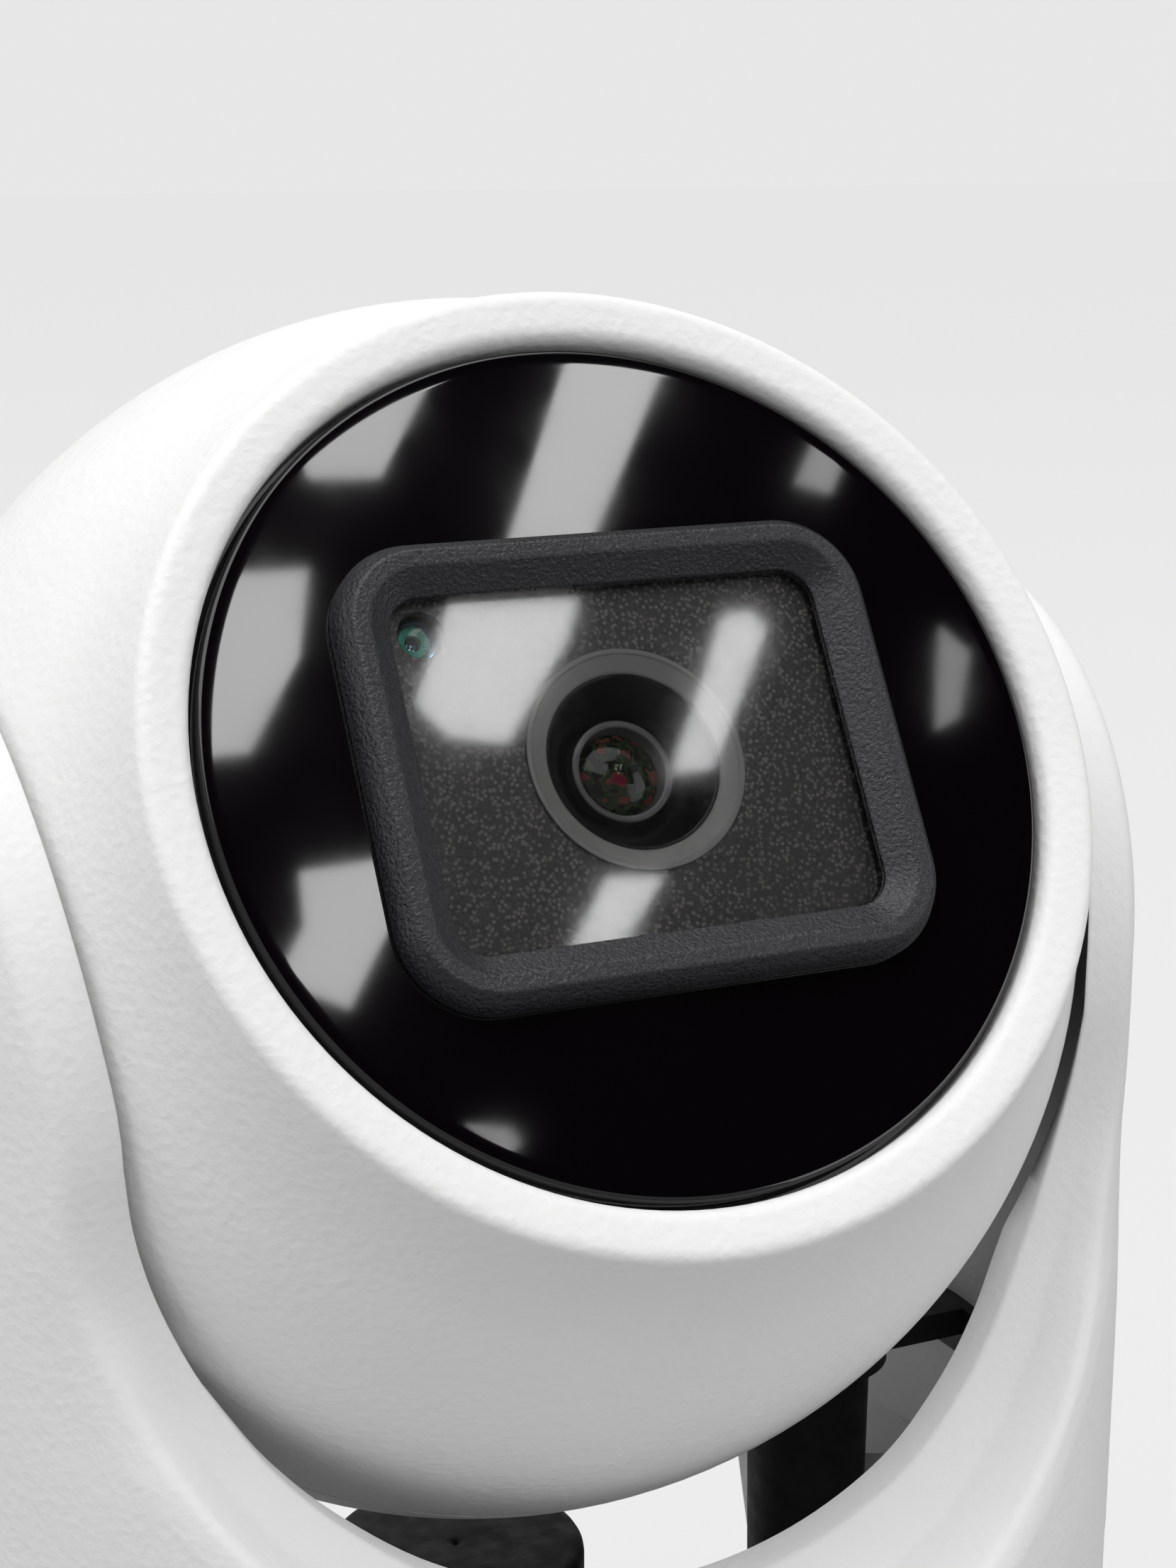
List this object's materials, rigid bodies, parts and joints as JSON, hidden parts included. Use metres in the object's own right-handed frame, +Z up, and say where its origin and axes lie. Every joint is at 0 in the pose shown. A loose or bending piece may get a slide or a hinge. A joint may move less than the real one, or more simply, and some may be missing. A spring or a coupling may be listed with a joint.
{
  "type": "pan-tilt security camera",
  "caption": "Outdoor security camera: a white ball head with a glossy black face and framed lens tilts in a U-shaped yoke that pans on a round base.",
  "frame": {"origin": "centre of the mounting face under the base", "axes": "+Z up along the pan axis, -Y to the front, where the lens looks with pan at zero, +X along the tilt axis to the camera's left"},
  "size_m": [0.099, 0.099, 0.1533],
  "materials": {
    "shell_white": "fine leather-grain moulded texture",
    "face_black": "mirror-gloss smoked cover",
    "frame_black": "coarse sparkling grain",
    "window_glass": "clear, polished",
    "panel_black": "sparkling spark-eroded grain",
    "ring_grey": "satin",
    "barrel_black": "matt black anodised",
    "lens_glass": "coated optical glass",
    "sensor_clear": "clear epoxy dome",
    "rubber_black": "matt",
    "inner_black": "fine matt",
    "board_green": "solder-resist satin",
    "led_white": "satin",
    "steel": "zinc plated",
    "aluminium": "milled",
    "gear_nylon": "moulded acetal",
    "motor_steel": "pressed steel can"
  },
  "bodies": {
    "head": {"front_shell": "shell_white", "rear_shell": "shell_white", "shell_seal": "rubber_black", "face_disc": "face_black", "face_gasket": "rubber_black", "lens_frame": "frame_black", "window_glass": "window_glass", "lens_panel": "panel_black", "lens_ring": "ring_grey", "lens_hood": "inner_black", "lens_barrel": "barrel_black", "lens_glass": "lens_glass", "lens_holder": "inner_black", "sensor_board": "board_green", "light_sensor": "sensor_clear", "led_board": "board_green", "leds": "led_white", "chassis": "inner_black", "main_board": "board_green", "heat_sink": "aluminium", "speaker": "inner_black", "microphone": "steel", "tilt_motor": "motor_steel", "tilt_bush_left": "gear_nylon", "tilt_bush_right": "gear_nylon", "memory_card": "inner_black", "card_socket": "steel", "head_screws": "steel"},
    "yoke": {"yoke_shell": "shell_white", "arm_cover_left": "shell_white", "arm_cover_right": "shell_white", "pivot_pin_left": "steel", "pivot_pin_right": "steel", "pivot_cap_left": "shell_white", "pivot_cap_right": "shell_white", "tilt_gear": "gear_nylon", "harness_boot": "rubber_black", "antenna": "rubber_black", "antenna_clip": "inner_black", "pan_hub": "gear_nylon", "pan_gear": "gear_nylon", "yoke_screws": "steel", "pan_bearing_inner": "steel"},
    "base": {"base_shell": "shell_white", "base_plate": "shell_white", "mounting_plate": "steel", "mount_gasket": "rubber_black", "pan_bearing_outer": "steel", "pan_bearing_balls": "steel", "pan_motor": "motor_steel", "power_board": "board_green", "cable_gland": "rubber_black", "gland_nut": "inner_black", "base_screws": "steel"},
    "pan_pinion": {"pan_pinion": "gear_nylon"},
    "tilt_pinion": {"tilt_pinion": "gear_nylon"},
    "card_plug": {"card_plug": "shell_white"},
    "reset_button": {"reset_button": "inner_black"}
  },
  "joints": [
    {"name": "pan", "type": "hinge", "parent": "base", "child": "yoke", "pos_m": [0, 0, 0.107], "axis": [0, 0, 1], "range_deg": [-175, 175]},
    {"name": "tilt", "type": "hinge", "parent": "yoke", "child": "head", "pos_m": [0, 0, 0.107], "axis": [1, 0, 0], "range_deg": [-58, 41]},
    {"name": "pan_pinion_spin", "type": "hinge", "parent": "base", "child": "pan_pinion", "pos_m": [-0.033, 0, 0.0085], "axis": [0, 0, 1], "range_deg": [-790, 790]},
    {"name": "tilt_pinion_spin", "type": "hinge", "parent": "head", "child": "tilt_pinion", "pos_m": [0.0335, 0.00597, 0.09002], "axis": [1, 0, 0], "range_deg": [-151, 107]},
    {"name": "card_plug_pull", "type": "slide", "parent": "head", "child": "card_plug", "axis": [0, 0.4741, -0.8805], "range_m": [0, 0.005]},
    {"name": "reset_button_press", "type": "slide", "parent": "head", "child": "reset_button", "axis": [0, -0.1097, 0.994], "range_m": [0, 0.0006], "stiffness_N_per_m": 400}
  ],
  "couplings": [
    {"joint": "pan_pinion_spin", "follows": "pan", "ratio": -4.5},
    {"joint": "tilt_pinion_spin", "follows": "tilt", "ratio": 2.6}
  ]
}
